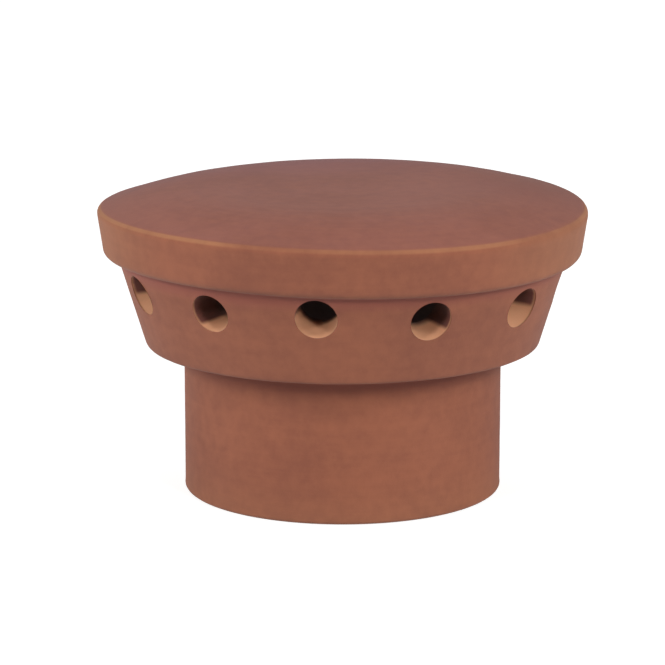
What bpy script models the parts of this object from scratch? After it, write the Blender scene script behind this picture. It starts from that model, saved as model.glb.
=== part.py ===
"""Flue terminal: a one-piece unglazed clay cap that stands in a chimney pot or flue liner.

A low domed disc with a thick rim covers a bowl pierced by a ring of round vents. The bowl
narrows down to a flat ledge, which rests on the pot, and a plain spigot below the ledge stands
inside it. The piece is hollow from the spigot's foot up to the underside of the cap.

Metres, +Z up. The origin is the middle of the spigot's foot, and one vent faces -Y.
"""

import math

import bmesh
import bpy
from mathutils import Matrix, Vector

# Overall sizes
CAP_DIAMETER = 0.265
HEIGHT = 0.166
WALL = 0.020
CAP_THICKNESS = 0.018

# Cap: a level crown that curves down to a rounded arris, with a rim that narrows downwards
ARRIS_HEIGHT = 0.152
ARRIS_ROUNDING = 0.0045
DOME_RADIUS = 0.140
DOME_EDGE_SLOPE = math.radians(16)
RIM_FOOT_HEIGHT = 0.1293
RIM_TAPER = math.radians(8.5)
RIM_ROUNDING = 0.0045
RIM_UNDERCUT = 0.0006

# Bowl: a straight wall that leans inwards going down
BOWL_TOP_DIAMETER = 0.243
BOWL_LEAN = math.radians(17.1)
SHOULDER_ROUNDING = 0.003

# Spigot and the ledge that rests on the pot
SPIGOT_DIAMETER = 0.1725
LEDGE_HEIGHT = 0.080
FOOT_ROUNDING = 0.002

# Hollow
THROAT_ROUNDING = 0.006
CHAMBER_FLOOR_ROUNDING = 0.010
CEILING_ROUNDING = 0.008

# Vents: round bores square to the bowl's wall
VENT_COUNT = 12
VENT_DIAMETER = 0.0225
VENT_HEIGHT = 0.1145
VENT_SIDES = 20
VENT_CUTTER_LENGTH = 4 * WALL

# Facets
SIDES = 72
CHORD_TOLERANCE = 0.00022
SHARP_EDGE = math.radians(32)

# Fired clay
CLAY_COLOUR = (0.33, 0.125, 0.070, 1.0)
CLAY_ROUGHNESS = 0.88


def arris_corner():
    """The sharp corner, as (radius, height), that the arris rounding blends away."""
    dome_normal = Vector((math.sin(DOME_EDGE_SLOPE), math.cos(DOME_EDGE_SLOPE)))
    face_normal = Vector((math.cos(RIM_TAPER), -math.sin(RIM_TAPER)))
    centre = Vector((CAP_DIAMETER / 2 - ARRIS_ROUNDING, ARRIS_HEIGHT))
    reach = (dome_normal + face_normal) / (1 + dome_normal.dot(face_normal))
    return centre + ARRIS_ROUNDING * reach


def bowl_radius(height):
    """The bowl's outer radius at a height, on the line of its wall."""
    top_height = RIM_FOOT_HEIGHT - RIM_UNDERCUT
    return BOWL_TOP_DIAMETER / 2 - (top_height - height) * math.tan(BOWL_LEAN)


def chamber_radius(height):
    """The inner radius at a height, one wall's thickness in from the bowl."""
    return bowl_radius(height) - WALL / math.cos(BOWL_LEAN)


def outer_corners():
    """The outside from the crown down to the foot, as (radius, height, rounding)."""
    arris = arris_corner()
    crown_radius = arris.x - (HEIGHT - arris.y) / math.tan(DOME_EDGE_SLOPE)
    rim_foot_radius = arris.x - (arris.y - RIM_FOOT_HEIGHT) * math.tan(RIM_TAPER)
    return [
        (0.0, HEIGHT, 0.0),
        (crown_radius, HEIGHT, DOME_RADIUS),
        (arris.x, arris.y, ARRIS_ROUNDING),
        (rim_foot_radius, RIM_FOOT_HEIGHT, RIM_ROUNDING),
        (BOWL_TOP_DIAMETER / 2, RIM_FOOT_HEIGHT - RIM_UNDERCUT, 0.0),
        (bowl_radius(LEDGE_HEIGHT), LEDGE_HEIGHT, SHOULDER_ROUNDING),
        (SPIGOT_DIAMETER / 2, LEDGE_HEIGHT, 0.0),
        (SPIGOT_DIAMETER / 2, 0.0, FOOT_ROUNDING),
    ]


def inner_corners():
    """The hollow from the foot up to the middle of the ceiling, as (radius, height, rounding)."""
    bore_radius = SPIGOT_DIAMETER / 2 - WALL
    floor_height = LEDGE_HEIGHT + WALL
    ceiling_height = HEIGHT - CAP_THICKNESS
    return [
        (bore_radius, 0.0, FOOT_ROUNDING),
        (bore_radius, floor_height, THROAT_ROUNDING),
        (chamber_radius(floor_height), floor_height, CHAMBER_FLOOR_ROUNDING),
        (chamber_radius(ceiling_height), ceiling_height, CEILING_ROUNDING),
        (0.0, ceiling_height, 0.0),
    ]


def rounded_corner(before, corner, after, rounding):
    """Points on the arc that rounds a corner between its two neighbours."""
    towards = (before - corner).normalized()
    away = (after - corner).normalized()
    half_angle = towards.angle(away) / 2
    centre = corner + (towards + away).normalized() * rounding / math.sin(half_angle)
    start = corner + towards * rounding / math.tan(half_angle) - centre
    end = corner + away * rounding / math.tan(half_angle) - centre
    turn = math.remainder(math.atan2(end.y, end.x) - math.atan2(start.y, start.x), math.tau)
    widest_step = 2 * math.acos(1 - CHORD_TOLERANCE / rounding)
    steps = max(1, math.ceil(abs(turn) / widest_step))
    first_angle = math.atan2(start.y, start.x)
    points = []
    for step in range(steps + 1):
        angle = first_angle + turn * step / steps
        points.append(centre + rounding * Vector((math.cos(angle), math.sin(angle))))
    return points


def rounded_outline(corners):
    """The outline through all the corners, each one rounded where it has a rounding."""
    places = [Vector((radius, height)) for radius, height, _ in corners]
    points = []
    for index, (_, _, rounding) in enumerate(corners):
        if rounding:
            neighbours = places[index - 1], places[index], places[index + 1]
            points += rounded_corner(*neighbours, rounding)
        else:
            points.append(places[index])
    return points


def new_collection(name):
    """A collection in the scene."""
    collection = bpy.data.collections.new(name)
    bpy.context.scene.collection.children.link(collection)
    return collection


def hide_from_render(helper):
    """Marks an object that only shapes the part."""
    helper.hide_render = True
    helper.display_type = "WIRE"


def turned_blank(collection):
    """The whole profile, turned around the Z axis, before the vents are bored."""
    outline = rounded_outline(outer_corners() + inner_corners())
    vertices = [(point.x, 0.0, point.y) for point in outline]
    edges = [(index, index + 1) for index in range(len(vertices) - 1)]
    mesh = bpy.data.meshes.new("turned_blank")
    mesh.from_pydata(vertices, edges, [])
    blank = bpy.data.objects.new("turned_blank", mesh)
    collection.objects.link(blank)
    screw = blank.modifiers.new("Turn", "SCREW")
    screw.axis = "Z"
    screw.steps = SIDES
    screw.render_steps = SIDES
    screw.use_merge_vertices = True
    screw.merge_threshold = 0.00001
    hide_from_render(blank)
    return blank


def vent_cutter(index, collection):
    """One bore through the bowl's wall, turned to its place around the ring."""
    mesh = bpy.data.meshes.new(f"vent_cutter_{index + 1:02d}")
    shape = bmesh.new()
    bmesh.ops.create_cone(
        shape,
        cap_ends=True,
        segments=VENT_SIDES,
        radius1=VENT_DIAMETER / 2,
        radius2=VENT_DIAMETER / 2,
        depth=VENT_CUTTER_LENGTH,
    )
    shape.to_mesh(mesh)
    shape.free()
    cutter = bpy.data.objects.new(mesh.name, mesh)
    collection.objects.link(cutter)
    upright_to_wall = Matrix.Rotation(math.pi / 2 + BOWL_LEAN, 4, "X")
    place = Matrix.Translation((0, -bowl_radius(VENT_HEIGHT), VENT_HEIGHT))
    turn = Matrix.Rotation(math.tau * index / VENT_COUNT, 4, "Z")
    cutter.matrix_world = turn @ place @ upright_to_wall
    hide_from_render(cutter)
    return cutter


def clay_material():
    """Dry unglazed terracotta."""
    material = bpy.data.materials.new("terracotta")
    material.use_nodes = True
    shader = material.node_tree.nodes["Principled BSDF"]
    shader.inputs["Base Color"].default_value = CLAY_COLOUR
    shader.inputs["Roughness"].default_value = CLAY_ROUGHNESS
    shader.inputs["Metallic"].default_value = 0.0
    material.diffuse_color = CLAY_COLOUR
    return material


def pierced_terminal(blank, cutters, collection):
    """The finished piece: the blank with every vent bored through its wall."""
    bore = blank.modifiers.new("Vents", "BOOLEAN")
    bore.operation = "DIFFERENCE"
    bore.solver = "EXACT"
    bore.operand_type = "COLLECTION"
    bore.collection = cutters
    bpy.context.view_layer.update()
    graph = bpy.context.evaluated_depsgraph_get()
    mesh = bpy.data.meshes.new_from_object(blank.evaluated_get(graph))
    mesh.name = "flue_terminal"
    mesh.shade_smooth()
    mesh.set_sharp_from_angle(angle=SHARP_EDGE)
    mesh.materials.clear()
    mesh.materials.append(clay_material())
    terminal = bpy.data.objects.new("flue_terminal", mesh)
    collection.objects.link(terminal)
    return terminal


def main():
    """Clears the scene and builds the terminal."""
    for old in list(bpy.data.objects):
        bpy.data.objects.remove(old)
    parts = new_collection("flue_terminal_part")
    cutters = new_collection("vent_cutters")
    construction = new_collection("construction")
    blank = turned_blank(construction)
    for index in range(VENT_COUNT):
        vent_cutter(index, cutters)
    pierced_terminal(blank, cutters, parts)


main()
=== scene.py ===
"""Looks of the flue terminal: one hollow piece of unglazed terracotta on a pale studio floor.

The clay is one closed mesh that stands for the CAD solid. Its profile comes from the sizes of
the cap, bowl, spigot and hollow. A Geometry Nodes tree turns the profile, bores the vents and
adds the small unevenness of hand work. Sizes are in metres and the frame is the CAD's: +Z is up,
the origin is the middle of the foot, and one vent faces -Y.
"""

import logging
import math
from dataclasses import dataclass, field
from enum import Enum

import bpy
from mathutils import Matrix, Vector


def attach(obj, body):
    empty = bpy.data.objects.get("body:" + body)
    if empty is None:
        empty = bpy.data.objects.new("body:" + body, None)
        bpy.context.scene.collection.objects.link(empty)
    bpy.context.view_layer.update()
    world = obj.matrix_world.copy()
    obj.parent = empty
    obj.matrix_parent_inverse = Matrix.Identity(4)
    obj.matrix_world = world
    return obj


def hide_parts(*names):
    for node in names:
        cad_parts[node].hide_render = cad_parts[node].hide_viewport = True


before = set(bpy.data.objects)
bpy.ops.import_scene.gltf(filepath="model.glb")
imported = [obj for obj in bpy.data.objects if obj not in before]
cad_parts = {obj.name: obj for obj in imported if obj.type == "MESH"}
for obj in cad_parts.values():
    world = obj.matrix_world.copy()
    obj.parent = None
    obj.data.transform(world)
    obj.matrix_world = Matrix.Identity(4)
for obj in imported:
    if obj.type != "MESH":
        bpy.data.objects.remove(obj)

log = logging.getLogger("flue_terminal")

CHORD_TOLERANCE = 0.00006
MERGE_DISTANCE = 0.000002
TOUCH_DISTANCE = 0.00002
SHARP_EDGE = math.radians(38)
CAMERA_TURN = math.radians(6.56)
LEDGE_HEIGHT = 0.080
CREASE_ROUNDING = 0.0012
FOOT_ROUNDING = 0.002

Corner = tuple[float, float, float]
Edge = tuple[int, int]
Pair = tuple[float, float]
Span = tuple[float, float]
Colour = tuple[float, float, float, float]
Socket = bpy.types.NodeSocket


def new_object(name: str, data: bpy.types.ID) -> bpy.types.Object:
    """Puts a mesh, lamp or camera into the scene.

    Args:
        name: The object's name.
        data: What it shows.

    Returns:
        The object, at the origin.
    """
    made = bpy.data.objects.new(name, data)
    bpy.context.scene.collection.objects.link(made)
    return made


@dataclass
class Cap:
    """The domed disc with its thick rim."""

    diameter: float = 0.2651
    height: float = 0.1661
    arris_height: float = 0.1520
    arris_rounding: float = 0.0042
    dome_radius: float = 0.140
    dome_edge_slope: float = math.radians(16)
    rim_foot_height: float = 0.1293
    rim_taper: float = math.radians(8.5)
    rim_rounding: float = 0.0045

    def arris(self) -> Vector:
        """The sharp corner, as (radius, height), that the arris rounding blends away.

        Returns:
            The corner of the rim's face and the edge of the dome.
        """
        dome_normal = Vector((math.sin(self.dome_edge_slope), math.cos(self.dome_edge_slope)))
        face_normal = Vector((math.cos(self.rim_taper), -math.sin(self.rim_taper)))
        centre = Vector((self.diameter / 2 - self.arris_rounding, self.arris_height))
        reach = (dome_normal + face_normal) / (1 + dome_normal.dot(face_normal))
        return centre + self.arris_rounding * reach

    def corners(self) -> list[Corner]:
        """The profile from the crown to the rim's foot.

        Returns:
            Corners as (radius, height, rounding).
        """
        arris = self.arris()
        crown_radius = arris.x - (self.height - arris.y) / math.tan(self.dome_edge_slope)
        drop = arris.y - self.rim_foot_height
        rim_foot_radius = arris.x - drop * math.tan(self.rim_taper)
        return [
            (0.0, self.height, 0.0),
            (crown_radius, self.height, self.dome_radius),
            (arris.x, arris.y, self.arris_rounding),
            (rim_foot_radius, self.rim_foot_height, self.rim_rounding),
        ]


@dataclass
class Bowl:
    """The wall below the cap, which leans inwards going down to the ledge."""

    top_diameter: float = 0.2436
    top_height: float = 0.1287
    lean: float = math.radians(17.1)
    ledge_height: float = LEDGE_HEIGHT
    shoulder_rounding: float = 0.003
    crease_rounding: float = CREASE_ROUNDING

    def radius(self, height: float) -> float:
        """The outer radius at a height, on the line of the wall."""
        return self.top_diameter / 2 - (self.top_height - height) * math.tan(self.lean)

    def corners(self) -> list[Corner]:
        """The profile from under the rim to the ledge's outer edge.

        Returns:
            Corners as (radius, height, rounding).
        """
        return [
            (self.top_diameter / 2, self.top_height, self.crease_rounding),
            (self.radius(self.ledge_height), self.ledge_height, self.shoulder_rounding),
        ]


@dataclass
class Spigot:
    """The plain sleeve that goes down inside a pot."""

    diameter: float = 0.1729
    ledge_height: float = LEDGE_HEIGHT
    crease_rounding: float = CREASE_ROUNDING
    foot_rounding: float = FOOT_ROUNDING

    def corners(self) -> list[Corner]:
        """The profile from the ledge to the foot's outer edge.

        Returns:
            Corners as (radius, height, rounding).
        """
        return [
            (self.diameter / 2, self.ledge_height, self.crease_rounding),
            (self.diameter / 2, 0.0, self.foot_rounding),
        ]


@dataclass
class Hollow:
    """The flue's bore, and the chamber behind the vents, one wall's thickness in."""

    wall: float = 0.020
    cap_thickness: float = 0.018
    throat_rounding: float = 0.006
    floor_rounding: float = 0.010
    ceiling_rounding: float = 0.008
    foot_rounding: float = FOOT_ROUNDING

    def corners(self, cap: Cap, bowl: Bowl, spigot: Spigot) -> list[Corner]:
        """The profile from the foot's inner edge to the middle of the ceiling.

        Args:
            cap: The cap above the chamber.
            bowl: The bowl around the chamber.
            spigot: The spigot around the bore.

        Returns:
            Corners as (radius, height, rounding).
        """
        bore = spigot.diameter / 2 - self.wall
        floor = bowl.ledge_height + self.wall
        ceiling = cap.height - self.cap_thickness
        inset = self.wall / math.cos(bowl.lean)
        return [
            (bore, 0.0, self.foot_rounding),
            (bore, floor, self.throat_rounding),
            (bowl.radius(floor) - inset, floor, self.floor_rounding),
            (bowl.radius(ceiling) - inset, ceiling, self.ceiling_rounding),
            (0.0, ceiling, 0.0),
        ]


@dataclass
class Outline:
    """A profile made of corners, drawn as closely spaced points."""

    corners: list[Corner]
    step: float = 0.0024

    def rounded(self) -> list[Vector]:
        """The corners, each one replaced by its arc where it has a rounding.

        Returns:
            Points as (radius, height).
        """
        places = [Vector((radius, height)) for radius, height, _ in self.corners]
        points: list[Vector] = []
        for index, (_, _, rounding) in enumerate(self.corners):
            if rounding:
                points += self.arc(places[index - 1], places[index], places[index + 1], rounding)
            else:
                points.append(places[index])
        return points

    def arc(self, before: Vector, corner: Vector, after: Vector, rounding: float) -> list[Vector]:
        """The arc that rounds one corner.

        Args:
            before: The corner before it.
            corner: The corner that is rounded.
            after: The corner after it.
            rounding: The arc's radius.

        Returns:
            Points along the arc, its two ends included.
        """
        towards = (before - corner).normalized()
        away = (after - corner).normalized()
        half_angle = towards.angle(away) / 2
        centre = corner + (towards + away).normalized() * rounding / math.sin(half_angle)
        start = corner + towards * rounding / math.tan(half_angle) - centre
        end = corner + away * rounding / math.tan(half_angle) - centre
        first = math.atan2(start.y, start.x)
        turn = math.remainder(math.atan2(end.y, end.x) - first, math.tau)
        widest = 2 * math.acos(1 - CHORD_TOLERANCE / rounding)
        steps = max(2, math.ceil(abs(turn) / widest))
        angles = [first + turn * step / steps for step in range(steps + 1)]
        return [centre + rounding * Vector((math.cos(a), math.sin(a))) for a in angles]

    def points(self) -> list[Vector]:
        """The rounded outline with its long stretches divided.

        Returns:
            Points as (radius, height), none much further apart than the step.
        """
        sparse = self.rounded()
        points = [sparse[0]]
        for start, end in zip(sparse, sparse[1:]):
            pieces = max(1, math.ceil((end - start).length / self.step))
            points += [start.lerp(end, piece / pieces) for piece in range(1, pieces + 1)]
        return points


@dataclass(frozen=True)
class Vent:
    """How one hand-cut vent differs from an even one.

    Its turn about Z, its spin about its own axis and the lean of its painted bore shade are in
    degrees. Its rise is in metres, its width is a share of the ring's diameter, and its squash is
    its height as a share of its width. Its shade drop is how much lower its painted bore shade
    comes, as a share of its radius.
    """

    turn: float = 0.0
    rise: float = 0.0
    width: float = 1.0
    squash: float = 1.0
    spin: float = 0.0
    # How low the painted shade in the bore comes, and its lean.
    smoke: float = 0.15
    smoke_lean: float = 0.0


# Vents counted around from the front one, with minus towards -X. Some also set how low and at what
# lean the painted shade in their bore lies.
HAND_CUT_VENTS = {
    -2: Vent(turn=1.5, rise=-0.0001, width=1.09, squash=0.78, spin=-21, smoke=0.17, smoke_lean=-30),
    -1: Vent(turn=1.0, rise=-0.0001, width=0.97, squash=0.915, smoke=-0.03, smoke_lean=-52),
    0: Vent(rise=0.0020, width=0.945, smoke=0.02),
    1: Vent(turn=-0.6, rise=-0.0004, width=0.97, smoke=0.08, smoke_lean=32),
    2: Vent(rise=-0.0014, width=1.08, squash=0.92, smoke=0.07, smoke_lean=10),
    3: Vent(width=0.98),
    4: Vent(turn=1.2, rise=-0.0006, smoke=0.25),
    5: Vent(turn=-1.0, width=0.97, squash=0.96),
    6: Vent(turn=0.7, rise=0.0009, smoke=0.05),
}


@dataclass
class VentRing:
    """The ring of round bores through the bowl, square to its wall."""

    count: int = 12
    diameter: float = 0.0225
    height: float = 0.1147
    depth_in: float = 0.031
    depth_out: float = 0.012
    bore_steps: int = 9
    lip: float = 0.0003
    lip_steps: int = 4
    lip_slope: float = math.radians(65)
    sides: int = 72
    vents: dict[int, Vent] = field(default_factory=lambda: dict(HAND_CUT_VENTS))

    def centres(self, bowl: Bowl) -> tuple[list[Vector], dict[str, list[float]]]:
        """Where the bores meet the wall. Each one is a little off the even spacing and size.

        Args:
            bowl: The bowl that the ring goes round.

        Returns:
            The centres on the wall, and by name what the tree needs of each vent: its turn about
            Z from facing -Y, its shape, and where the painted shade in its bore lies. The angles
            are in radians.
        """
        places: list[Vector] = []
        kept: dict[str, list[float]] = {}
        for index in range(-self.count // 2 + 1, self.count // 2 + 1):
            vent = self.vents.get(index, Vent())
            facing = math.tau * index / self.count + math.radians(vent.turn)
            height = self.height + vent.rise
            radius = bowl.radius(height)
            places.append(Vector((radius * math.sin(facing), -radius * math.cos(facing), height)))
            values = {
                "facing": facing,
                "width": vent.width,
                "squash": vent.squash,
                "spin": math.radians(vent.spin),
                # Where the painted shade in the bore lies.
                "smoke": vent.smoke,
                "smoke_lean": math.radians(vent.smoke_lean),
            }
            for name, value in values.items():
                kept.setdefault(name, []).append(value)
        return places, kept

    def cutter_profile(self) -> list[Vector]:
        """The bore's outline, as (radius, distance out of the wall), softened at its mouth.

        Returns:
            Points from the outer end's middle to the inner end's middle.
        """
        radius = self.diameter / 2
        bore = self.depth_in - self.lip
        points = [Vector((0.0, -self.depth_in)), Vector((radius, -self.depth_in))]
        for step in range(1, self.bore_steps + 1):
            points.append(Vector((radius, -self.depth_in + bore * step / self.bore_steps)))
        for step in range(1, self.lip_steps + 1):
            angle = self.lip_slope * step / self.lip_steps
            out = self.lip * (1 - math.cos(angle))
            points.append(Vector((radius + out, -self.lip + self.lip * math.sin(angle))))
        flare = Vector((math.sin(self.lip_slope), math.cos(self.lip_slope)))
        points.append(points[-1] + flare * self.depth_out / 2)
        points.append(Vector((0.0, points[-1].y)))
        return points[::-1]


@dataclass(frozen=True)
class Pattern:
    """A noise: how fine it is, how many layers it has and how strong the finer ones are."""

    scale: float
    detail: float
    rough: float = 0.5


class NodeTree:
    """Adds nodes to a tree and joins them up."""

    def __init__(self, tree: bpy.types.NodeTree) -> None:
        """Keeps the tree that the nodes go into."""
        self.tree = tree

    def add(self, kind: str, *inputs: object, **settings: object) -> bpy.types.Node:
        """Adds one node.

        Args:
            kind: The node's type.
            inputs: A socket to link from or a plain value, in the order of the node's shown
                inputs. None leaves an input as it is.
            settings: Properties of the node, set before its inputs.

        Returns:
            The new node.
        """
        node = self.tree.nodes.new(kind)
        for name, value in settings.items():
            setattr(node, name, value)
        shown = [socket for socket in node.inputs if socket.enabled]
        for socket, value in zip(shown, inputs):
            self.join(value, socket)
        return node

    def join(self, value: object, socket: Socket) -> None:
        """Links a socket to another, or gives it a plain value.

        Args:
            value: The socket to link from, a plain value, or None to leave it as it is.
            socket: The input.
        """
        if isinstance(value, Socket):
            self.tree.links.new(value, socket)
        elif value is not None:
            socket.default_value = value

    def math(self, operation: str, *inputs: object) -> Socket:
        """One Math node's result."""
        return self.add("ShaderNodeMath", *inputs, operation=operation).outputs[0]

    def plus(self, first: object, second: object) -> Socket:
        """The sum of two numbers."""
        return self.math("ADD", first, second)

    def minus(self, first: object, second: object) -> Socket:
        """The first number less the second."""
        return self.math("SUBTRACT", first, second)

    def times(self, first: object, *others: object) -> Socket:
        """The product of two or more numbers.

        Args:
            first: The first number.
            others: The numbers that it is multiplied by.

        Returns:
            The product.
        """
        product = first
        for other in others:
            product = self.math("MULTIPLY", product, other)
        return product

    def vector(self, x: object, y: object, z: object) -> Socket:
        """A vector put together from three numbers or sockets."""
        return self.add("ShaderNodeCombineXYZ", x, y, z).outputs[0]

    def parts(self, vector: object) -> tuple[Socket, ...]:
        """The three numbers of a vector."""
        return tuple(self.add("ShaderNodeSeparateXYZ", vector).outputs)

    def radius(self, x: object, y: object) -> Socket:
        """The distance from the Z axis."""
        return self.math("SQRT", self.plus(self.times(x, x), self.times(y, y)))

    def band(self, x: object, y: object, z: object, stretch: float) -> Socket:
        """Coordinates that change slowly around the piece and fast up and across it.

        Args:
            x: The place's X.
            y: The place's Y.
            z: The place's height.
            stretch: How much the coordinates change around the piece, as a share.

        Returns:
            The coordinates.
        """
        slope = self.minus(z, self.radius(x, y))
        return self.vector(self.times(x, stretch), self.times(y, stretch), slope)

    def ramp(self, value: object, low: object, high: object) -> Socket:
        """A smooth step from 0 at low to 1 at high."""
        return self.add(
            "ShaderNodeMapRange", value, low, high, 0.0, 1.0, interpolation_type="SMOOTHSTEP"
        ).outputs[0]

    def noise(self, vector: object, pattern: Pattern) -> Socket:
        """A noise texture's value, about 0 to 1.

        Args:
            vector: The coordinates.
            pattern: The noise.

        Returns:
            The value.
        """
        node = self.add("ShaderNodeTexNoise", noise_dimensions="3D")
        self.join(vector, node.inputs["Vector"])
        self.join(pattern.scale, node.inputs["Scale"])
        self.join(pattern.detail, node.inputs["Detail"])
        self.join(pattern.rough, node.inputs["Roughness"])
        return node.outputs[0]

    def mixed(self, share: object, first: object, second: object) -> Socket:
        """One colour that goes from the first to the second.

        Args:
            share: How much of the second, 0 to 1.
            first: The first colour.
            second: The second colour.

        Returns:
            The colour.
        """
        node = self.add("ShaderNodeMix", data_type="RGBA")
        colours = [socket for socket in node.inputs if socket.type == "RGBA"]
        self.join(share, node.inputs["Factor"])
        self.join(first, colours[0])
        self.join(second, colours[1])
        return next(socket for socket in node.outputs if socket.type == "RGBA")

    def kept(self, name: str) -> Socket:
        """A number that the mesh keeps under a name, read in Geometry Nodes."""
        return self.add("GeometryNodeInputNamedAttribute", name, data_type="FLOAT").outputs[0]

    def mark(self, name: str) -> Socket:
        """A number that the mesh keeps under a name, read in a material."""
        return self.add("ShaderNodeAttribute", attribute_name=name).outputs["Fac"]

    def stored(self, mesh: object, name: str, value: object, domain: str = "POINT") -> Socket:
        """Keeps a number on the mesh under a name.

        Args:
            mesh: The mesh.
            name: The attribute's name.
            value: The number.
            domain: Whether points or faces carry it.

        Returns:
            The mesh with its attribute.
        """
        store = self.add("GeometryNodeStoreNamedAttribute", data_type="FLOAT", domain=domain)
        self.join(mesh, store.inputs["Geometry"])
        self.join(name, store.inputs["Name"])
        self.join(value, store.inputs["Value"])
        return store.outputs[0]


@dataclass
class HandWork:
    """The small unevenness that turning, drying and firing leave in the clay."""

    cap_warp: float = 0.0014
    warp_facing: float = CAMERA_TURN
    warp_waves: float = 2.0
    warp_power: float = 4.0
    wobble: float = 0.0004
    wobble_pattern: Pattern = Pattern(9.0, 1.0)
    unevenness: float = 0.00022
    unevenness_pattern: Pattern = Pattern(55.0, 3.0)
    ridges: float = 0.00008
    ridge_pattern: Pattern = Pattern(420.0, 2.0)
    ridge_stretch: float = 0.04
    level_foot: float = 0.004
    seed: int = 7


@dataclass
class Terminal:
    """The whole clay piece: its profile turned, bored and made uneven."""

    cap: Cap = field(default_factory=Cap)
    bowl: Bowl = field(default_factory=Bowl)
    spigot: Spigot = field(default_factory=Spigot)
    hollow: Hollow = field(default_factory=Hollow)
    vents: VentRing = field(default_factory=VentRing)
    hand: HandWork = field(default_factory=HandWork)
    sides: int = 264

    def profile(self) -> list[Vector]:
        """The closed profile, outside and then inside.

        Returns:
            Points as (radius, height) from the crown to the middle of the ceiling.
        """
        corners = self.cap.corners() + self.bowl.corners() + self.spigot.corners()
        corners += self.hollow.corners(self.cap, self.bowl, self.spigot)
        return Outline(corners).points()

    def helper(self, name: str, points: list[Vector], edges: list[Edge]) -> bpy.types.Object:
        """A helper object with points and edges alone.

        Args:
            name: The helper's name.
            points: Its points.
            edges: Its edges, as pairs of points.

        Returns:
            The helper.
        """
        mesh = bpy.data.meshes.new(name)
        mesh.from_pydata(points, edges, [])
        return new_object(name, mesh)

    def line_object(self, name: str, points: list[Vector]) -> bpy.types.Object:
        """A helper that carries a line of points as (radius, height).

        Args:
            name: The helper's name.
            points: The line's points.

        Returns:
            The helper, with its points in the XZ plane.
        """
        edges = [(index, index + 1) for index in range(len(points) - 1)]
        return self.helper(name, [Vector((point.x, 0.0, point.y)) for point in points], edges)

    def vent_points(self) -> bpy.types.Object:
        """A helper with one point for each vent, which carries what the ring says of it.

        Returns:
            The helper.
        """
        places, kept = self.vents.centres(self.bowl)
        helper = self.helper("vent_points", places, [])
        for name, values in kept.items():
            attribute = helper.data.attributes.new(name, "FLOAT", "POINT")
            attribute.data.foreach_set("value", values)
        return helper

    def tree(self) -> bpy.types.NodeTree:
        """The Geometry Nodes tree that turns, bores and finishes the piece.

        Returns:
            The tree, with its sizes as named inputs.
        """
        tree = bpy.data.node_groups.new("turned_clay", "GeometryNodeTree")
        sizes = ("Lean", "Curvature", "Ledge", "Rim Foot", "Cap Radius", "Warp", "Warp Facing")
        named_inputs = {
            "NodeSocketGeometry": ("Geometry",),
            "NodeSocketObject": ("Vent Line", "Vent Points"),
            "NodeSocketInt": ("Sides", "Vent Sides", "Seed"),
            "NodeSocketFloat": sizes + ("Wobble", "Unevenness", "Ridges"),
            "NodeSocketMaterial": ("Material",),
        }
        for kind, names in named_inputs.items():
            for name in names:
                tree.interface.new_socket(name, in_out="INPUT", socket_type=kind)
        tree.interface.new_socket("Geometry", in_out="OUTPUT", socket_type="NodeSocketGeometry")
        nodes = NodeTree(tree)
        given = nodes.add("NodeGroupInput").outputs
        blank = self.turned(nodes, given["Geometry"], given["Sides"], None)
        line = nodes.add("GeometryNodeObjectInfo", given["Vent Line"]).outputs["Geometry"]
        cutter = self.turned(nodes, line, given["Vent Sides"], given["Curvature"])
        bores = self.placed(nodes, cutter, given["Vent Points"], given["Lean"])
        cut = nodes.add("GeometryNodeMeshBoolean", operation="DIFFERENCE", solver="MANIFOLD")
        nodes.join(blank, cut.inputs["Mesh 1"])
        nodes.join(bores, cut.inputs["Mesh 2"])
        marked = self.marked(nodes, cut.outputs["Mesh"], bores)
        uneven = self.uneven(nodes, marked, given)
        real = nodes.add("GeometryNodeRealizeInstances", uneven).outputs[0]
        clay = nodes.add("GeometryNodeSetMaterial", real, None, given["Material"]).outputs[0]
        nodes.join(clay, nodes.add("NodeGroupOutput").inputs["Geometry"])
        return tree

    def turned(self, nodes: NodeTree, line: object, sides: object, curvature: object) -> Socket:
        """Turns a line about the Z axis.

        Args:
            nodes: The tree.
            line: The line's geometry, with its points as (radius, 0, height).
            sides: How many steps go round.
            curvature: How much the wall curves across X, which the heights then follow, or None.

        Returns:
            The closed mesh of triangles, with its faces outwards.
        """
        rows = nodes.add("GeometryNodeAttributeDomainSize", line).outputs[0]
        columns = nodes.plus(sides, 1.0)
        grid = nodes.add("GeometryNodeMeshGrid", 1.0, 1.0, columns, rows).outputs[0]
        index = nodes.add("GeometryNodeInputIndex").outputs[0]
        column = nodes.math("FLOOR", nodes.math("DIVIDE", nodes.plus(index, 0.5), rows))
        row = nodes.minus(index, nodes.times(column, rows))
        sample = nodes.add("GeometryNodeSampleIndex", data_type="FLOAT_VECTOR")
        nodes.join(line, sample.inputs["Geometry"])
        nodes.join(nodes.add("GeometryNodeInputPosition").outputs[0], sample.inputs["Value"])
        nodes.join(row, sample.inputs["Index"])
        radius, _, height = nodes.parts(sample.outputs[0])
        angle = nodes.times(nodes.math("DIVIDE", column, sides), math.tau)
        sine = nodes.math("SINE", angle)
        cosine = nodes.math("COSINE", angle)
        x = nodes.times(radius, cosine)
        y = nodes.times(radius, sine)
        if curvature is not None:
            sag = nodes.times(x, x, curvature)
            height = nodes.minus(height, nodes.math("DIVIDE", sag, 2.0))
            grid = nodes.stored(grid, "rise", sine)
            grid = nodes.stored(grid, "across", cosine)
        round_mesh = nodes.add("GeometryNodeSetPosition", grid, None, nodes.vector(x, y, height))
        merged = nodes.add("GeometryNodeMergeByDistance", round_mesh.outputs[0])
        nodes.join(MERGE_DISTANCE, merged.inputs["Distance"])
        triangles = nodes.add("GeometryNodeTriangulate", merged.outputs[0]).outputs[0]
        return nodes.add("GeometryNodeFlipFaces", triangles).outputs[0]

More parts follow.
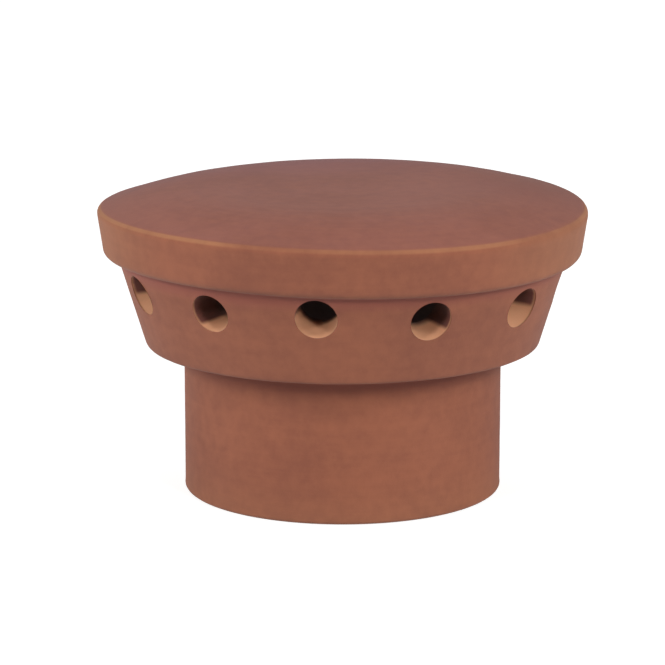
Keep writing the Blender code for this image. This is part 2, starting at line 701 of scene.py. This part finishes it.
    def placed(self, nodes: NodeTree, cutter: object, points: object, lean: object) -> Socket:
        """Puts one cutter on each vent's point, square to the wall.

        Args:
            nodes: The tree.
            cutter: The cutter, which points along +Z with the wall's level across X.
            points: The object with the vents' points, facings and shapes.
            lean: The wall's lean.

        Returns:
            The cutters as one mesh.
        """
        centres = nodes.add("GeometryNodeObjectInfo", points).outputs["Geometry"]
        upright = nodes.plus(lean, math.pi / 2)
        outwards = nodes.add(
            "FunctionNodeEulerToRotation", nodes.vector(upright, 0.0, nodes.kept("facing"))
        )
        about_axis = nodes.add(
            "FunctionNodeEulerToRotation", nodes.vector(0.0, 0.0, nodes.kept("spin"))
        )
        turn = nodes.add(
            "FunctionNodeRotateRotation", outwards.outputs[0], about_axis.outputs[0],
            rotation_space="LOCAL",
        )
        width = nodes.kept("width")
        tall = nodes.times(width, nodes.kept("squash"))
        spread = nodes.add("GeometryNodeInstanceOnPoints", centres)
        nodes.join(cutter, spread.inputs["Instance"])
        nodes.join(turn.outputs[0], spread.inputs["Rotation"])
        nodes.join(nodes.vector(width, tall, 1.0), spread.inputs["Scale"])
        return nodes.add("GeometryNodeRealizeInstances", spread.outputs[0]).outputs[0]

    def marked(self, nodes: NodeTree, clay: object, bores: object) -> Socket:
        """Marks what a bore left: its faces, and how near each point is to the painted shade in the
        bore.

        Args:
            nodes: The tree.
            clay: The bored mesh.
            bores: The cutters.

        Returns:
            The mesh with its two attributes.
        """
        near = nodes.add("GeometryNodeProximity", target_element="FACES")
        nodes.join(bores, near.inputs[0])
        is_cut = nodes.math("LESS_THAN", near.outputs["Distance"], TOUCH_DISTANCE)
        clay = nodes.stored(clay, "vent_wall", is_cut, "FACE")
        # Where the painted shade in each bore lies: its upper side, turned by its lean.
        lean = nodes.kept("smoke_lean")
        up = nodes.times(nodes.kept("rise"), nodes.math("COSINE", lean))
        up = nodes.plus(up, nodes.times(nodes.kept("across"), nodes.math("SINE", lean)))
        near_shade = nodes.add("GeometryNodeSampleNearestSurface", data_type="FLOAT")
        nodes.join(bores, near_shade.inputs["Mesh"])
        nodes.join(nodes.plus(up, nodes.kept("smoke")), near_shade.inputs["Value"])
        return nodes.stored(clay, "vent_rise", near_shade.outputs[0])

    def uneven(self, nodes: NodeTree, clay: object, given: object) -> Socket:
        """Moves the surface a little, as drying and firing do.

        Args:
            nodes: The tree.
            clay: The exact mesh.
            given: The tree's inputs.

        Returns:
            The uneven mesh.
        """
        hand = self.hand
        place = nodes.add("GeometryNodeInputPosition").outputs[0]
        x, y, z = nodes.parts(place)
        out = nodes.math("DIVIDE", nodes.radius(x, y), given["Cap Radius"])
        angle = nodes.minus(nodes.math("ARCTAN2", y, x), given["Warp Facing"])
        twist = nodes.math("SINE", nodes.times(angle, hand.warp_waves))
        saddle = nodes.times(twist, nodes.math("POWER", out, hand.warp_power))
        above_ledge = nodes.ramp(z, given["Ledge"], given["Rim Foot"])
        lift = nodes.times(saddle, above_ledge, given["Warp"])
        shift = nodes.vector(given["Seed"], 0.0, 0.0)
        seeded = nodes.add("ShaderNodeVectorMath", place, shift, operation="ADD").outputs[0]
        band = nodes.band(x, y, z, hand.ridge_stretch)
        slow = nodes.times(nodes.noise(seeded, hand.wobble_pattern), given["Wobble"])
        fine = nodes.times(nodes.noise(seeded, hand.unevenness_pattern), given["Unevenness"])
        turned = nodes.times(nodes.noise(band, hand.ridge_pattern), given["Ridges"])
        inward = nodes.plus(nodes.plus(slow, fine), turned)
        above_foot = nodes.add("ShaderNodeMapRange", z, 0.0, hand.level_foot, 0.0, 1.0).outputs[0]
        push = nodes.add("ShaderNodeVectorMath", operation="SCALE")
        nodes.join(nodes.add("GeometryNodeInputNormal").outputs[0], push.inputs[0])
        nodes.join(nodes.times(inward, above_foot, -1.0), push.inputs["Scale"])
        lifted = nodes.vector(0.0, 0.0, lift)
        moved = nodes.add("ShaderNodeVectorMath", push.outputs[0], lifted, operation="ADD")
        return nodes.add("GeometryNodeSetPosition", clay, None, None, moved.outputs[0]).outputs[0]

    def build(self, clay: bpy.types.Material) -> bpy.types.Object:
        """Makes the clay piece.

        Args:
            clay: The finish.

        Returns:
            The piece, as a plain mesh at the origin.
        """
        source = self.line_object("profile_line", self.profile())
        vent_line = self.line_object("vent_line", self.vents.cutter_profile())
        vent_points = self.vent_points()
        tree = self.tree()
        modifier = source.modifiers.new("Turned clay", "NODES")
        modifier.node_group = tree
        values = {
            "Vent Line": vent_line,
            "Vent Points": vent_points,
            "Sides": self.sides,
            "Vent Sides": self.vents.sides,
            "Seed": self.hand.seed,
            "Lean": self.bowl.lean,
            "Curvature": math.cos(self.bowl.lean) / self.bowl.radius(self.vents.height),
            "Ledge": self.bowl.ledge_height,
            "Rim Foot": self.cap.rim_foot_height,
            "Cap Radius": self.cap.diameter / 2,
            "Warp": self.hand.cap_warp,
            "Warp Facing": self.hand.warp_facing,
            "Wobble": self.hand.wobble,
            "Unevenness": self.hand.unevenness,
            "Ridges": self.hand.ridges,
            "Material": clay,
        }
        for item in tree.interface.items_tree:
            if item.in_out == "INPUT" and item.name in values:
                modifier[item.identifier] = values[item.name]
        bpy.context.view_layer.update()
        graph = bpy.context.evaluated_depsgraph_get()
        mesh = bpy.data.meshes.new_from_object(source.evaluated_get(graph))
        mesh.name = "clay_terminal"
        mesh.shade_smooth()
        mesh.set_sharp_from_angle(angle=SHARP_EDGE)
        for helper in (source, vent_line, vent_points):
            bpy.data.objects.remove(helper)
        return new_object("clay_terminal", mesh)


@dataclass(frozen=True)
class Place:
    """What the finish reads of a place on the clay, and the tree that reads it.

    The band is its coordinates for turning marks, the depth is how far it lies inside the bowl's
    outer wall, the upward is how far its surface faces up, and the blotch is a slow noise. The
    cut is 1 on a bore's wall, and the rise is how near the place is to the painted shade in its
    bore.
    """

    nodes: NodeTree
    spot: Socket
    band: Socket
    x: Socket
    y: Socket
    z: Socket
    radius: Socket
    depth: Socket
    upward: Socket
    blotch: Socket
    cut: Socket
    rise: Socket


@dataclass(frozen=True)
class Terracotta:
    """Dry, unglazed, fired clay, with faint mottling and turning marks, paler edges and a stain,
    and painted shade in its creases, bores and hollow, and painted sheen and reflection on the rim
    and top.

    A span is where a layer of colour begins and where it is full.
    """

    # Colours and shine
    deep: Colour = (0.268, 0.085, 0.0475, 1.0)
    light: Colour = (0.358, 0.118, 0.061, 1.0)
    # Bluish tint for the top: bloom in patches, and painted cool reflection towards the back.
    bloom_and_reflection: Colour = (0.262, 0.107, 0.126, 1.0)
    # Pale tan for the arris and the foot, and painted sheen on the rim's sides.
    pale_and_sheen: Colour = (0.490, 0.232, 0.108, 1.0)
    stain: Colour = (0.235, 0.072, 0.052, 1.0)
    # Painted shade under the rim and the ledge.
    crease_shade: Colour = (0.330, 0.091, 0.064, 1.0)
    cut: Colour = (0.80, 0.41, 0.235, 1.0)
    # Painted shade on the upper sides of the bores, lighter near the mouth and darker deeper in.
    bore_shade_light: Colour = (0.195, 0.066, 0.052, 1.0)
    bore_shade_dark: Colour = (0.100, 0.034, 0.023, 1.0)
    # Painted shade inside the hollow.
    inside: Colour = (0.110, 0.052, 0.038, 1.0)
    roughness: float = 0.9
    sheen: float = 0.06
    sheen_roughness: float = 0.45

    # The wall that depths are measured from
    bowl: Bowl = field(default_factory=Bowl)

    # Plain clay
    blotches: Pattern = Pattern(16.0, 5.0, 0.6)
    mottling: Pattern = Pattern(140.0, 4.0, 0.6)
    streaks: Pattern = Pattern(260.0, 3.0)
    tone_shares: tuple[float, float, float] = (0.50, 0.35, 0.15)
    tone_span: Span = (0.34, 0.66)
    band_stretch: float = 0.06

    # Bluish tint on the top: bloom in patches, and painted reflection towards the back
    bloom_and_reflection_level: Span = (0.75, 0.99)
    reflection_back: Span = (0.0, 0.13)
    reflection_slant: float = 0.35
    reflection_and_bloom_shares: Pair = (0.50, 0.50)

    # Damp stain on the top
    damp_centre: Pair = (0.098, 0.040)
    damp_reach: Pair = (0.036, 0.060)
    damp_edge: Span = (1.6, 0.3)
    damp_patches: Span = (0.25, 0.6)
    damp_share: float = 0.55

    # Paler arris and foot, and painted sheen on the rim's sides
    top_level: Span = (0.80, 0.93)
    arris_level: Span = (0.25, 0.55)
    arris_patches: Span = (0.2, 0.7)
    rim_sheen_height: Span = (0.128, 0.133)
    rim_sheen_sides: Span = (0.075, 0.130)
    rim_sheen_share: float = 0.50
    edge_and_sheen_share: float = 0.55
    foot_wear: Span = (0.030, -0.090)

    # Painted shade under the rim and the ledge
    under_rim: Span = (0.1190, 0.1285)
    under_rim_top: float = 0.1300
    under_rim_inset: Span = (0.1235, 0.1225)
    under_ledge: Span = (0.0660, 0.0790)
    under_ledge_top: float = 0.0810
    under_ledge_inset: Span = (0.0900, 0.0880)

    # Cut clay and painted shade in the vents
    fresh_depth: Span = (0.0002, 0.0014)
    bore_shade_depth: Span = (0.0002, 0.0028)
    bore_shade_rise: Span = (-0.02, 0.26)
    bore_shade_per_depth: float = 24.0
    bore_shade_deepening: Span = (0.001, 0.009)

    # Painted shade in the hollow
    chamber_height: Span = (0.088, 0.094)
    chamber_depth: Span = (0.014, 0.020)
    chamber_top: float = 0.150
    bore_radius: float = 0.0690
    bore_fade: float = 0.003

    # Fine relief
    grain: Pattern = Pattern(900.0, 4.0, 0.65)
    marks: Pattern = Pattern(900.0, 3.0)
    relief_shares: Pair = (0.6, 0.4)
    relief_strength: float = 0.35
    relief_depth: float = 0.0004

    def material(self) -> bpy.types.Material:
        """Builds the finish.

        Returns:
            The material.
        """
        material = bpy.data.materials.new("unglazed_terracotta")
        material.use_nodes = True
        nodes = NodeTree(material.node_tree)
        shader = material.node_tree.nodes["Principled BSDF"]
        at = self.place(nodes)
        # Painted shade in the bores, lighter near the mouth and darker deeper in.
        bore_shade_colour = nodes.mixed(nodes.ramp(at.depth, *self.bore_shade_deepening), self.bore_shade_light, self.bore_shade_dark)
        # Layers: bloom and painted reflection on the top, a stain, pale edges and painted sheen on
        # the rim's sides, painted shade in the creases, cut clay, painted shade in the bores, and
        # painted shade in the hollow.
        layers = (
            (self.bloom_and_reflection_share(at), self.bloom_and_reflection),
            (self.damp(at), self.stain),
            (self.pale_edges_and_sheen(at), self.pale_and_sheen),
            (self.painted_crease_shade(at), self.crease_shade),
            (self.fresh(at), self.cut),
            (self.painted_bore_shade(at), bore_shade_colour),
            (self.hollow_shade_share(at), self.inside),
        )
        clay = nodes.mixed(self.tone(at), self.deep, self.light)
        for share, colour in layers:
            clay = nodes.mixed(share, clay, colour)
        nodes.join(clay, shader.inputs["Base Color"])
        nodes.join(self.roughness, shader.inputs["Roughness"])
        nodes.join(self.sheen, shader.inputs["Sheen Weight"])
        nodes.join(self.sheen_roughness, shader.inputs["Sheen Roughness"])
        nodes.join(self.relief(at), shader.inputs["Normal"])
        return material

    def place(self, nodes: NodeTree) -> Place:
        """Reads what the layers need to know of a place.

        Args:
            nodes: The tree.

        Returns:
            The place.
        """
        spot = nodes.add("ShaderNodeTexCoord").outputs["Object"]
        x, y, z = nodes.parts(spot)
        radius = nodes.radius(x, y)
        fall = nodes.times(nodes.minus(self.bowl.top_height, z), math.tan(self.bowl.lean))
        wall = nodes.minus(self.bowl.top_diameter / 2, fall)
        depth = nodes.times(nodes.minus(wall, radius), math.cos(self.bowl.lean))
        normal = nodes.add("ShaderNodeNewGeometry").outputs["Normal"]
        return Place(
            nodes=nodes,
            spot=spot,
            band=nodes.band(x, y, z, self.band_stretch),
            x=x,
            y=y,
            z=z,
            radius=radius,
            depth=depth,
            upward=nodes.parts(normal)[2],
            blotch=nodes.noise(spot, self.blotches),
            cut=nodes.mark("vent_wall"),
            rise=nodes.mark("vent_rise"),
        )

    def tone(self, at: Place) -> Socket:
        """How light the plain clay is.

        Args:
            at: The place.

        Returns:
            0 for the deep colour, 1 for the light one.
        """
        nodes = at.nodes
        blotch = nodes.times(at.blotch, self.tone_shares[0])
        mottle = nodes.times(nodes.noise(at.spot, self.mottling), self.tone_shares[1])
        streak = nodes.times(nodes.noise(at.band, self.streaks), self.tone_shares[2])
        return nodes.ramp(nodes.plus(nodes.plus(blotch, mottle), streak), *self.tone_span)

    def bloom_and_reflection_share(self, at: Place) -> Socket:
        """Where the bluish tint lies on the top: bloom in patches, and painted reflection towards
        its back.

        Args:
            at: The place.

        Returns:
            The tint's share.
        """
        nodes = at.nodes
        # Painted cool reflection towards the back of the top, added to bloom in patches.
        back = nodes.ramp(nodes.minus(at.y, nodes.times(at.x, self.reflection_slant)), *self.reflection_back)
        reflection_and_bloom = nodes.plus(
            nodes.times(back, self.reflection_and_bloom_shares[0]), nodes.times(at.blotch, self.reflection_and_bloom_shares[1])
        )
        return nodes.times(nodes.ramp(at.upward, *self.bloom_and_reflection_level), reflection_and_bloom)

    def damp(self, at: Place) -> Socket:
        """Where the damp stain lies, to the right of the crown.

        Args:
            at: The place.

        Returns:
            The stain's share.
        """
        nodes = at.nodes
        offsets = [
            nodes.math("DIVIDE", nodes.minus(value, centre), reach)
            for value, centre, reach in zip((at.x, at.y), self.damp_centre, self.damp_reach)
        ]
        away = nodes.add("ShaderNodeVectorMath", nodes.vector(*offsets, 0.0), operation="LENGTH")
        inner = nodes.ramp(away.outputs["Value"], *self.damp_edge)
        return nodes.times(inner, nodes.ramp(at.blotch, *self.damp_patches), self.damp_share)

    def pale_edges_and_sheen(self, at: Place) -> Socket:
        """Where the clay is paler: along the arris in patches and towards the foot, with painted
        sheen on the rim's face at its sides, towards +X and -X.

        Args:
            at: The place.

        Returns:
            The wear's share.
        """
        nodes = at.nodes
        level = nodes.ramp(at.upward, *self.top_level)
        arris = nodes.minus(nodes.ramp(at.upward, *self.arris_level), level)
        arris = nodes.times(arris, nodes.ramp(at.blotch, *self.arris_patches))
        # Painted sheen on the rim's face towards its sides, at +X and -X.
        rim = nodes.minus(nodes.ramp(at.z, *self.rim_sheen_height), level)
        sides = nodes.ramp(nodes.math("ABSOLUTE", at.x), *self.rim_sheen_sides)
        edges = nodes.math("MAXIMUM", arris, nodes.times(sides, self.rim_sheen_share, rim))
        foot = nodes.ramp(at.z, *self.foot_wear)
        return nodes.math("MAXIMUM", nodes.times(edges, self.edge_and_sheen_share), foot)

    def painted_crease_shade(self, at: Place) -> Socket:
        """Painted shade under the rim and the ledge.

        Args:
            at: The place.

        Returns:
            The share of the painted shade.
        """
        nodes = at.nodes
        # Painted shade in the creases under the rim and the ledge.
        shares = [
            nodes.times(
                nodes.ramp(at.z, *height), nodes.math("LESS_THAN", at.z, top),
                nodes.ramp(at.radius, *inset),
            )
            for height, top, inset in (
                (self.under_rim, self.under_rim_top, self.under_rim_inset),
                (self.under_ledge, self.under_ledge_top, self.under_ledge_inset),
            )
        ]
        return nodes.math("MAXIMUM", *shares)

    def fresh(self, at: Place) -> Socket:
        """Where a bore shows paler, freshly cut clay."""
        return at.nodes.times(at.cut, at.nodes.ramp(at.depth, *self.fresh_depth))

    def painted_bore_shade(self, at: Place) -> Socket:
        """Painted shade on the upper side of a bore.

        Args:
            at: The place.

        Returns:
            The painted shade's share.
        """
        nodes = at.nodes
        # Painted shade on the upper side of each bore, reaching lower deeper in.
        reach = nodes.plus(at.rise, nodes.times(at.depth, self.bore_shade_per_depth))
        upper = nodes.ramp(reach, *self.bore_shade_rise)
        return nodes.times(at.cut, upper, nodes.ramp(at.depth, *self.bore_shade_depth))

    def hollow_shade_share(self, at: Place) -> Socket:
        """Where the painted shade of the hollow begins.

        Args:
            at: The place.

        Returns:
            1 in the bore and the chamber, 0 outside.
        """
        nodes = at.nodes
        # Painted shade in the chamber and the bore.
        deep = nodes.ramp(at.depth, *self.chamber_depth)
        chamber = nodes.times(nodes.ramp(at.z, *self.chamber_height), deep)
        bore = nodes.ramp(nodes.minus(self.bore_radius, at.radius), 0.0, self.bore_fade)
        below = nodes.math("LESS_THAN", at.z, self.chamber_top)
        return nodes.times(nodes.math("MAXIMUM", chamber, bore), below)

    def relief(self, at: Place) -> Socket:
        """Fine grain and turning marks, as a bump.

        Args:
            at: The place.

        Returns:
            The bumped normal.
        """
        nodes = at.nodes
        grain = nodes.times(nodes.noise(at.spot, self.grain), self.relief_shares[0])
        marks = nodes.times(nodes.noise(at.band, self.marks), self.relief_shares[1])
        bump = nodes.add("ShaderNodeBump")
        nodes.join(self.relief_strength, bump.inputs["Strength"])
        nodes.join(self.relief_depth, bump.inputs["Distance"])
        nodes.join(nodes.plus(grain, marks), bump.inputs["Height"])
        return bump.outputs[0]


class LampColour(Enum):
    """The colours of the studio's lamps."""

    WARM = (1.0, 0.97, 0.93)
    COOL = (0.82, 0.91, 1.0)


@dataclass(frozen=True)
class Lamp:
    """A soft lamp that faces the piece.

    Its azimuth is in degrees to the right of the camera, seen from the piece, and its elevation
    in degrees above level. Its size is its width and height, and its power is in watts.
    """

    name: str
    azimuth: float
    elevation: float
    size: Pair
    power: float
    colour: LampColour = LampColour.WARM
    distance: float = 2.2
    target_height: float = 0.09

    def build(self) -> None:
        """Makes the lamp."""
        data = bpy.data.lights.new(self.name, "AREA")
        data.shape = "RECTANGLE"
        data.size, data.size_y = self.size
        data.energy = self.power
        data.color = self.colour.value
        turn = math.radians(self.azimuth) + CAMERA_TURN
        rise = math.radians(self.elevation)
        level = math.cos(rise)
        back = Vector((math.sin(turn) * level, -math.cos(turn) * level, math.sin(rise)))
        place = Vector((0.0, 0.0, self.target_height)) + back * self.distance
        facing = back.to_track_quat("Z", "Y").to_matrix().to_4x4()
        new_object(self.name, data).matrix_world = Matrix.Translation(place) @ facing


@dataclass(frozen=True)
class FloorFinish:
    """Plain matt grey, which may glow so that the camera sees it nearly white."""

    tone: float = 0.45
    roughness: float = 0.9
    glow: float = 0.80
    far_glow: float = 0.18
    far_span: Span = (0.3, 1.6)

    def matt(self, name: str) -> bpy.types.Material:
        """Builds the grey.

        Args:
            name: The material's name.

        Returns:
            The material.
        """
        material = bpy.data.materials.new(name)
        material.use_nodes = True
        shader = material.node_tree.nodes["Principled BSDF"]
        shader.inputs["Base Color"].default_value = (self.tone, self.tone, self.tone, 1.0)
        shader.inputs["Roughness"].default_value = self.roughness
        return material

    def glowing(self, name: str) -> bpy.types.Material:
        """Builds the grey with its glow, which is a little stronger away from the middle.

        Args:
            name: The material's name.

        Returns:
            The material.
        """
        material = self.matt(name)
        shader = material.node_tree.nodes["Principled BSDF"]
        shader.inputs["Emission Color"].default_value = (1.0, 1.0, 1.0, 1.0)
        nodes = NodeTree(material.node_tree)
        spot = nodes.add("ShaderNodeTexCoord").outputs["Object"]
        away = nodes.add("ShaderNodeVectorMath", spot, operation="LENGTH").outputs["Value"]
        far = nodes.times(nodes.ramp(away, *self.far_span), self.far_glow)
        nodes.join(nodes.plus(far, self.glow), shader.inputs["Emission Strength"])
        return material


@dataclass
class Studio:
    """The floor, lights and camera."""

    finish: FloorFinish = FloorFinish()
    lamps: tuple[Lamp, ...] = (
        Lamp("key_left", -38, 24, (0.30, 0.50), 12.6),
        Lamp("key_right", 29, 25, (0.30, 0.50), 15.0),
        Lamp("wing_left", -66, 31, (0.60, 0.50), 10.5),
        Lamp("wing_right", 60, 31, (0.60, 0.50), 12.0),
        Lamp("side_left", -92, 16, (0.5, 0.5), 8.5),
        Lamp("side_right", 90, 16, (0.5, 0.5), 6.5),
        Lamp("high_left", -76, 46, (0.5, 0.5), 2.5),
        Lamp("high_right", 76, 46, (0.5, 0.5), 3.0),
        Lamp("overhead", 180, 60, (1.2, 1.2), 10.6, LampColour.COOL),
    )
    floor_size: float = 14.0
    floor_drop: float = 0.0003
    card_drop: float = 0.001
    camera_distance: float = 1.700
    camera_height: float = 0.4632
    camera_pitch: float = math.radians(12.566)
    camera_yaw: float = math.radians(-0.184)
    camera_roll: float = math.radians(-0.027)
    camera_reach: float = 60.0
    lens: float = 173.2
    sensor: float = 36.0

    def build(self) -> None:
        """Makes the floor, the surround, the lights and the camera."""
        self.floor()
        self.surround()
        for lamp in self.lamps:
            lamp.build()
        self.camera()

    def floor(self) -> None:
        """A plain pale floor, with a darker card under it that the light bounces off."""
        pale = self.plane(-self.floor_drop, self.finish.glowing("studio_floor"))
        pale.visible_diffuse = False
        pale.visible_shadow = False
        card = self.plane(-self.card_drop, self.finish.matt("bounce_card"))
        card.visible_camera = False

    def plane(self, height: float, finish: bpy.types.Material) -> bpy.types.Object:
        """One level square of the studio, which takes its name from its finish.

        Args:
            height: Its height.
            finish: Its finish.

        Returns:
            The plane.
        """
        half = self.floor_size / 2
        signs = ((-1, -1), (1, -1), (1, 1), (-1, 1))
        mesh = bpy.data.meshes.new(finish.name)
        mesh.from_pydata([(half * x, half * y, height) for x, y in signs], [], [(0, 1, 2, 3)])
        mesh.materials.append(finish)
        plane = new_object(finish.name, mesh)
        return plane

    def surround(self) -> None:
        """A white surround that only the camera sees. The lamps give the light."""
        world = bpy.data.worlds.new("studio_light")
        world.use_nodes = True
        background = world.node_tree.nodes["Background"]
        background.inputs["Color"].default_value = (1.0, 1.0, 1.0, 1.0)
        background.inputs["Strength"].default_value = 1.0
        world.cycles_visibility.diffuse = False
        world.cycles_visibility.glossy = False
        bpy.context.scene.world = world
        bpy.context.scene.view_settings.view_transform = "Standard"

    def camera(self) -> None:
        """The camera, where the photograph's view puts it."""
        yaw, pitch, roll = self.camera_yaw, self.camera_pitch, self.camera_roll
        level = math.cos(pitch)
        forward = Vector((math.sin(yaw) * level, math.cos(yaw) * level, -math.sin(pitch)))
        right = Vector((math.cos(yaw), -math.sin(yaw), 0.0))
        tilted = right * math.cos(roll) + right.cross(forward) * math.sin(roll)
        axes = Matrix((tilted, tilted.cross(forward), -forward)).transposed().to_4x4()
        spin = Matrix.Rotation(CAMERA_TURN, 4, "Z")
        place = Matrix.Translation((0.0, -self.camera_distance, self.camera_height))
        data = bpy.data.cameras.new("camera")
        data.lens = self.lens
        data.sensor_width = self.sensor
        data.clip_end = self.camera_reach
        camera = new_object("camera", data)
        camera.matrix_world = spin @ place @ axes
        bpy.context.scene.camera = camera


def main() -> None:
    """Builds the piece and the studio."""
    logging.basicConfig(level=logging.INFO, format="%(message)s")
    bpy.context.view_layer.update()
    piece = Terminal().build(Terracotta().material())
    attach(piece, "root")
    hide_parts("flue_terminal")
    log.info("%s: %d faces", piece.name, len(piece.data.polygons))
    Studio().build()


if __name__ == "__main__":
    main()
